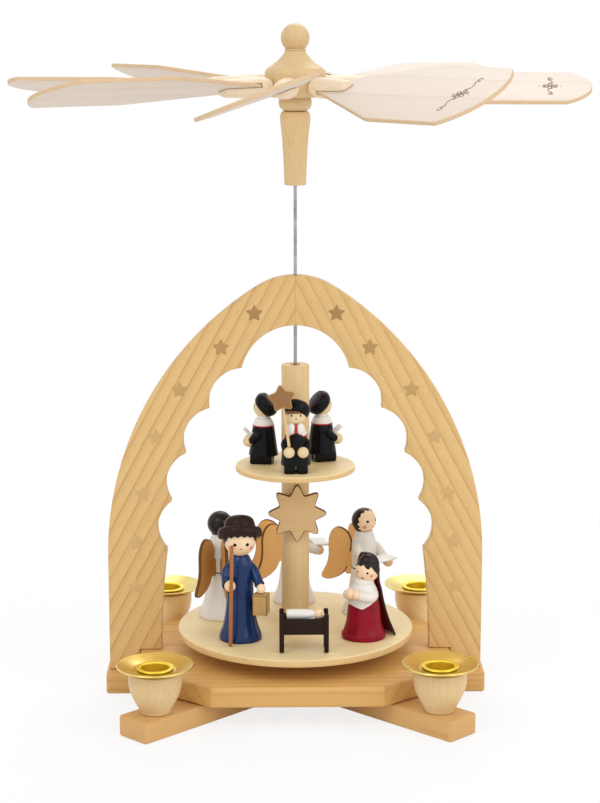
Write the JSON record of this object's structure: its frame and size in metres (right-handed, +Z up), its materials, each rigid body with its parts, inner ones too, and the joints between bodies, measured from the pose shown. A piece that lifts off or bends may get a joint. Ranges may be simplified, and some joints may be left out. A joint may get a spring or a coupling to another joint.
{
  "type": "christmas pyramid",
  "caption": "Wooden candle carousel: crossed feet, pointed arch, turning plates with nativity figures, and a bladed fan on a steel spindle.",
  "frame": {"origin": "on the floor, under the spindle, where the two crossed slats meet", "axes": "+Z up along the spindle, -Y out of the front, where the crib and the star face, +X to the right along the arch"},
  "size_m": [0.3046, 0.3046, 0.3606],
  "materials": {
    "pine": "clear satin lacquer on pine",
    "beech": "smooth turned beech, satin",
    "plywood": "pale birch plywood with laser-browned edges",
    "fibreboard": "raw brown fibreboard, laser cut",
    "brass": "polished pressed brass",
    "steel": "drawn steel rod",
    "blue_paint": "blue satin paint on turned wood",
    "red_paint": "red satin paint on turned wood",
    "black_paint": "black satin paint on turned wood",
    "white_paint": "white satin paint on turned wood",
    "navy_paint": "dark blue satin paint on wood",
    "dark_stain": "dark brown stain"
  },
  "bodies": {
    "base": {"base_board": "pine", "foot_slat_lower": "pine", "foot_slat_upper": "pine", "end_foot_right": "pine", "end_foot_left": "pine", "arch_right": "pine", "arch_left": "pine", "spindle_bearing": "brass", "candle_cup_front_left": "beech", "drip_dish_front_left": "brass", "candle_socket_front_left": "brass", "candle_cup_front_right": "beech", "drip_dish_front_right": "brass", "candle_socket_front_right": "brass", "candle_cup_rear_right": "beech", "drip_dish_rear_right": "brass", "candle_socket_rear_right": "brass", "candle_cup_rear_left": "beech", "drip_dish_rear_left": "brass", "candle_socket_rear_left": "brass"},
    "rotor": {"spindle": "steel", "post": "beech", "lower_plate": "beech", "upper_plate": "beech", "post_star": "fibreboard", "father": "blue_paint", "father_staff": "fibreboard", "father_lantern": "fibreboard", "mother": "red_paint", "mother_mantle": "navy_paint", "crib": "dark_stain", "baby": "white_paint", "angel_left": "white_paint", "angel_wings_left": "fibreboard", "angel_back": "white_paint", "angel_wings_back": "fibreboard", "angel_right": "white_paint", "angel_wings_right": "fibreboard", "singer_front": "black_paint", "singer_star": "fibreboard", "singer_left": "black_paint", "singer_right": "black_paint"},
    "fan": {"fan_hub": "beech", "hub_sleeve": "beech"},
    "blade_1": {"fan_blade_1": "plywood", "blade_stub_1": "beech"},
    "blade_2": {"fan_blade_2": "plywood", "blade_stub_2": "beech"},
    "blade_3": {"fan_blade_3": "plywood", "blade_stub_3": "beech"},
    "blade_4": {"fan_blade_4": "plywood", "blade_stub_4": "beech"},
    "blade_5": {"fan_blade_5": "plywood", "blade_stub_5": "beech"},
    "blade_6": {"fan_blade_6": "plywood", "blade_stub_6": "beech"},
    "blade_7": {"fan_blade_7": "plywood", "blade_stub_7": "beech"},
    "blade_8": {"fan_blade_8": "plywood", "blade_stub_8": "beech"}
  },
  "joints": [
    {"name": "rotor_spin", "type": "hinge", "parent": "base", "child": "rotor", "pos_m": [0, 0, 0.02], "axis": [0, 0, 1], "continuous": true},
    {"name": "fan_lift", "type": "slide", "parent": "rotor", "child": "fan", "axis": [0, 0, 1], "range_m": [0, 0.062]},
    {"name": "blade_pitch_1", "type": "hinge", "parent": "fan", "child": "blade_1", "pos_m": [0, 0, 0.328], "axis": [0.5779, -0.8161, 0], "range_deg": [-71, 19]},
    {"name": "blade_pitch_2", "type": "hinge", "parent": "fan", "child": "blade_2", "pos_m": [0, 0, 0.328], "axis": [0.9857, -0.1685, 0], "range_deg": [-58, 32]},
    {"name": "blade_pitch_3", "type": "hinge", "parent": "fan", "child": "blade_3", "pos_m": [0, 0, 0.328], "axis": [0.8161, 0.5779, 0], "range_deg": [-63, 27]},
    {"name": "blade_pitch_4", "type": "hinge", "parent": "fan", "child": "blade_4", "pos_m": [0, 0, 0.328], "axis": [0.1685, 0.9857, 0], "range_deg": [-63, 27]},
    {"name": "blade_pitch_5", "type": "hinge", "parent": "fan", "child": "blade_5", "pos_m": [0, 0, 0.328], "axis": [-0.5779, 0.8161, 0], "range_deg": [-62, 28]},
    {"name": "blade_pitch_6", "type": "hinge", "parent": "fan", "child": "blade_6", "pos_m": [0, 0, 0.328], "axis": [-0.9857, 0.1685, 0], "range_deg": [-54, 36]},
    {"name": "blade_pitch_7", "type": "hinge", "parent": "fan", "child": "blade_7", "pos_m": [0, 0, 0.328], "axis": [-0.8161, -0.5779, 0], "range_deg": [-60, 30]},
    {"name": "blade_pitch_8", "type": "hinge", "parent": "fan", "child": "blade_8", "pos_m": [0, 0, 0.328], "axis": [-0.1685, -0.9857, 0], "range_deg": [-66, 24]}
  ]
}
